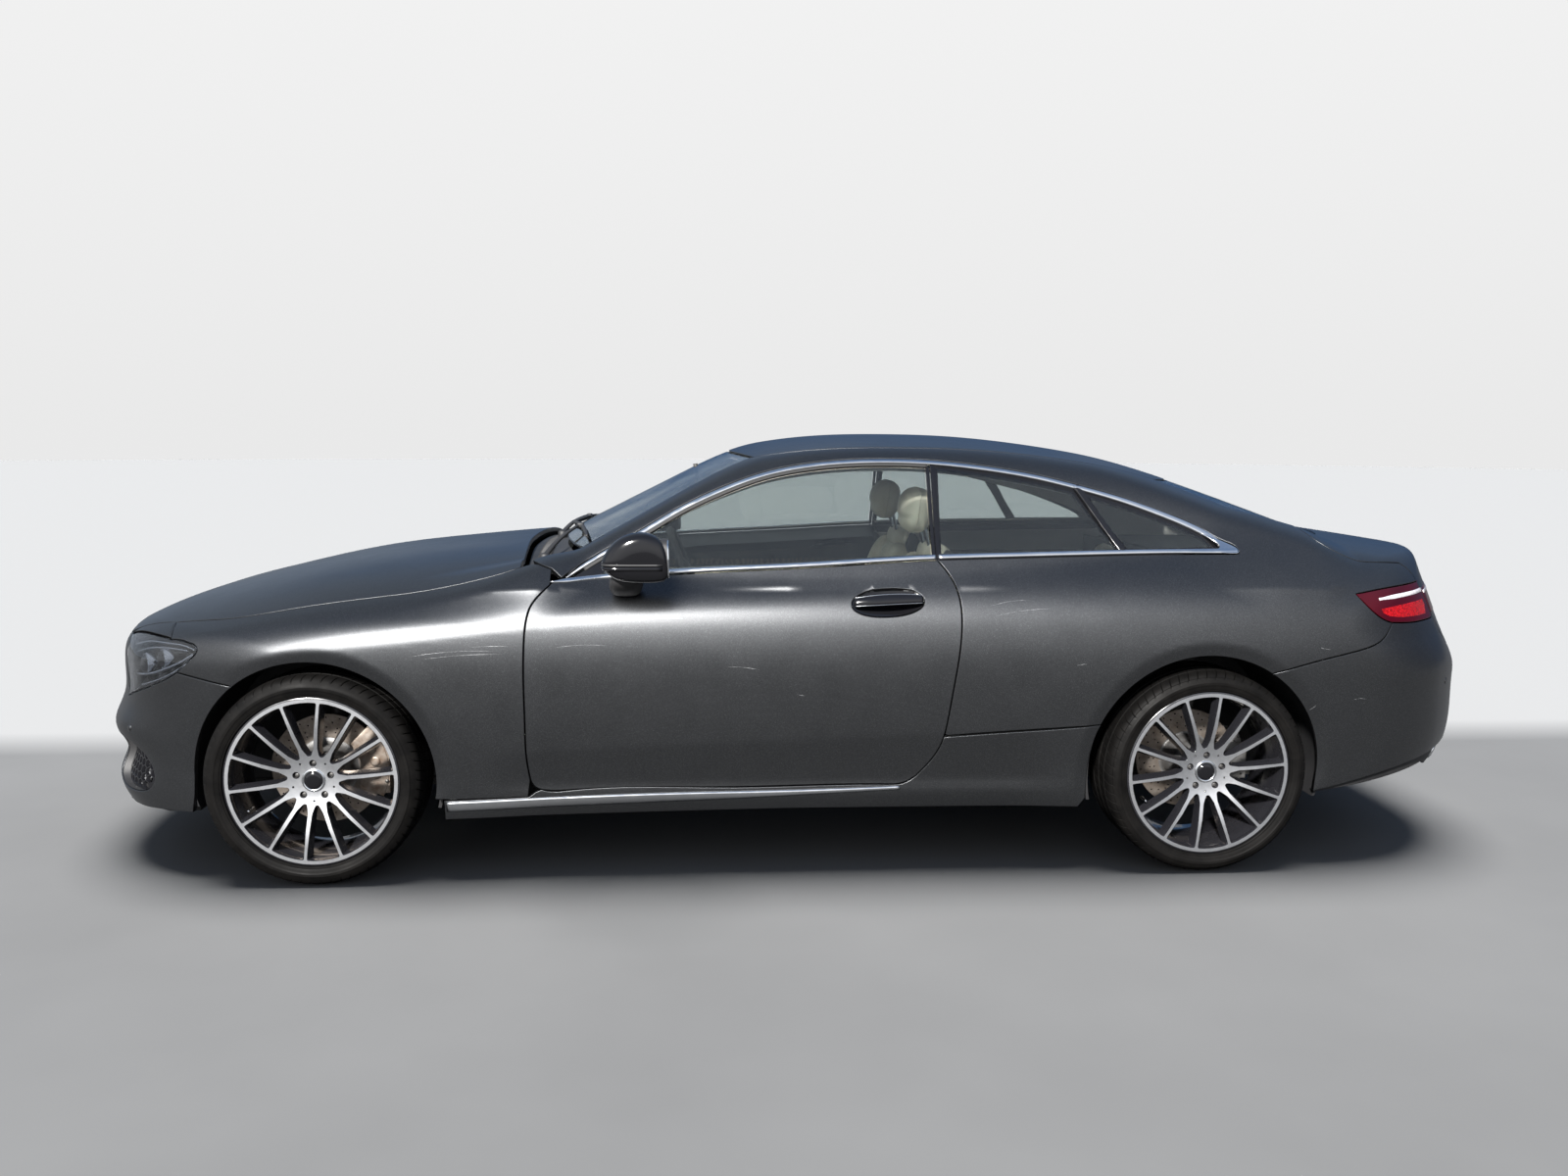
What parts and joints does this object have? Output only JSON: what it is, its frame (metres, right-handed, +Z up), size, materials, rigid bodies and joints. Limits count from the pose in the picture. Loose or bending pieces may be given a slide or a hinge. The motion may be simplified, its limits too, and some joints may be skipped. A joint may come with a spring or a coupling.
{
  "type": "two-door coupe car",
  "caption": "Low two-door coupe with a long bonnet, sloping roof, short boot, multi-spoke wheels, opening doors, bonnet and boot lid, and steering front wheels.",
  "frame": {"origin": "on the floor under the middle of the car", "axes": "+X towards the rear of the car, +Y to the right side of the car, +Z up"},
  "size_m": [4.8275, 2.052, 1.4307],
  "materials": {
    "body_paint": "dark blue-grey metallic with clear coat",
    "tinted_glass": "grey tinted glass",
    "lamp_lens": "clear lamp cover over a dark lamp body",
    "red_lens": "dark red lamp lens",
    "black_trim": "black grained plastic",
    "tyre_rubber": "black rubber",
    "rim_alloy": "machined bright faces on gloss black",
    "brake_iron": "ground brake disc",
    "underbody": "black underbody coating",
    "cast_metal": "cast metal",
    "steel": "stainless exhaust",
    "cabin_trim": "soft black cabin trim",
    "seat_leather": "cream leather"
  },
  "bodies": {
    "body": {"arch_liners": "black_trim", "bulkheads": "underbody", "centre_console": "cabin_trim", "cowl_panel": "black_trim", "dashboard": "cabin_trim", "engine_block": "cast_metal", "exhaust": "steel", "floor_pan": "underbody", "front_axle": "cast_metal", "front_bumper": "body_paint", "front_seats": "seat_leather", "grille": "black_trim", "headlights": "lamp_lens", "left_body_side": "body_paint", "left_wing": "body_paint", "quarter_glass": "tinted_glass", "rear_axle": "cast_metal", "rear_bumper": "body_paint", "rear_seat": "seat_leather", "rear_valance": "black_trim", "rear_window": "tinted_glass", "right_body_side": "body_paint", "right_wing": "body_paint", "roof": "body_paint", "side_skirts": "body_paint", "steering_wheel": "cabin_trim", "tail_lights": "red_lens", "windscreen": "tinted_glass", "wipers": "black_trim"},
    "bonnet": {"bonnet": "body_paint"},
    "boot_lid": {"boot_lid": "body_paint", "boot_lamps": "red_lens"},
    "left_door": {"left_door": "body_paint", "left_door_glass": "tinted_glass", "left_mirror": "body_paint"},
    "right_door": {"right_door": "body_paint", "right_door_glass": "tinted_glass", "right_mirror": "body_paint"},
    "front_left_knuckle": {"front_left_knuckle": "cast_metal"},
    "front_right_knuckle": {"front_right_knuckle": "cast_metal"},
    "front_left_wheel": {"front_left_tyre": "tyre_rubber", "front_left_rim": "rim_alloy", "front_left_disc": "brake_iron"},
    "front_right_wheel": {"front_right_tyre": "tyre_rubber", "front_right_rim": "rim_alloy", "front_right_disc": "brake_iron"},
    "rear_left_wheel": {"rear_left_tyre": "tyre_rubber", "rear_left_rim": "rim_alloy", "rear_left_disc": "brake_iron"},
    "rear_right_wheel": {"rear_right_tyre": "tyre_rubber", "rear_right_rim": "rim_alloy", "rear_right_disc": "brake_iron"}
  },
  "joints": [
    {"name": "front_left_steering", "type": "hinge", "parent": "body", "child": "front_left_knuckle", "pos_m": [-1.568, -0.78, 0.34], "axis": [0, 0, 1], "range_deg": [-33, 33]},
    {"name": "front_right_steering", "type": "hinge", "parent": "body", "child": "front_right_knuckle", "pos_m": [-1.568, 0.78, 0.34], "axis": [0, 0, 1], "range_deg": [-33, 33]},
    {"name": "front_left_wheel_spin", "type": "hinge", "parent": "front_left_knuckle", "child": "front_left_wheel", "pos_m": [-1.568, -0.8, 0.34], "axis": [0, 1, 0], "continuous": true},
    {"name": "front_right_wheel_spin", "type": "hinge", "parent": "front_right_knuckle", "child": "front_right_wheel", "pos_m": [-1.568, 0.8, 0.34], "axis": [0, 1, 0], "continuous": true},
    {"name": "rear_left_wheel_spin", "type": "hinge", "parent": "body", "child": "rear_left_wheel", "pos_m": [1.305, -0.795, 0.3365], "axis": [0, 1, 0], "continuous": true},
    {"name": "rear_right_wheel_spin", "type": "hinge", "parent": "body", "child": "rear_right_wheel", "pos_m": [1.305, 0.795, 0.3365], "axis": [0, 1, 0], "continuous": true},
    {"name": "left_door_hinge", "type": "hinge", "parent": "body", "child": "left_door", "pos_m": [-0.844, -0.913, 0.62], "axis": [0, 0, -1], "range_deg": [0, 65]},
    {"name": "right_door_hinge", "type": "hinge", "parent": "body", "child": "right_door", "pos_m": [-0.844, 0.913, 0.62], "axis": [0, 0, 1], "range_deg": [0, 65]},
    {"name": "bonnet_hinge", "type": "hinge", "parent": "body", "child": "bonnet", "pos_m": [-0.916, 0, 1.02], "axis": [0, 1, 0], "range_deg": [0, 50]},
    {"name": "boot_hinge", "type": "hinge", "parent": "body", "child": "boot_lid", "pos_m": [1.672, 0, 1.095], "axis": [0, -1, 0], "range_deg": [0, 70]}
  ],
  "couplings": [
    {"joint": "front_right_steering", "follows": "front_left_steering", "ratio": 1}
  ]
}
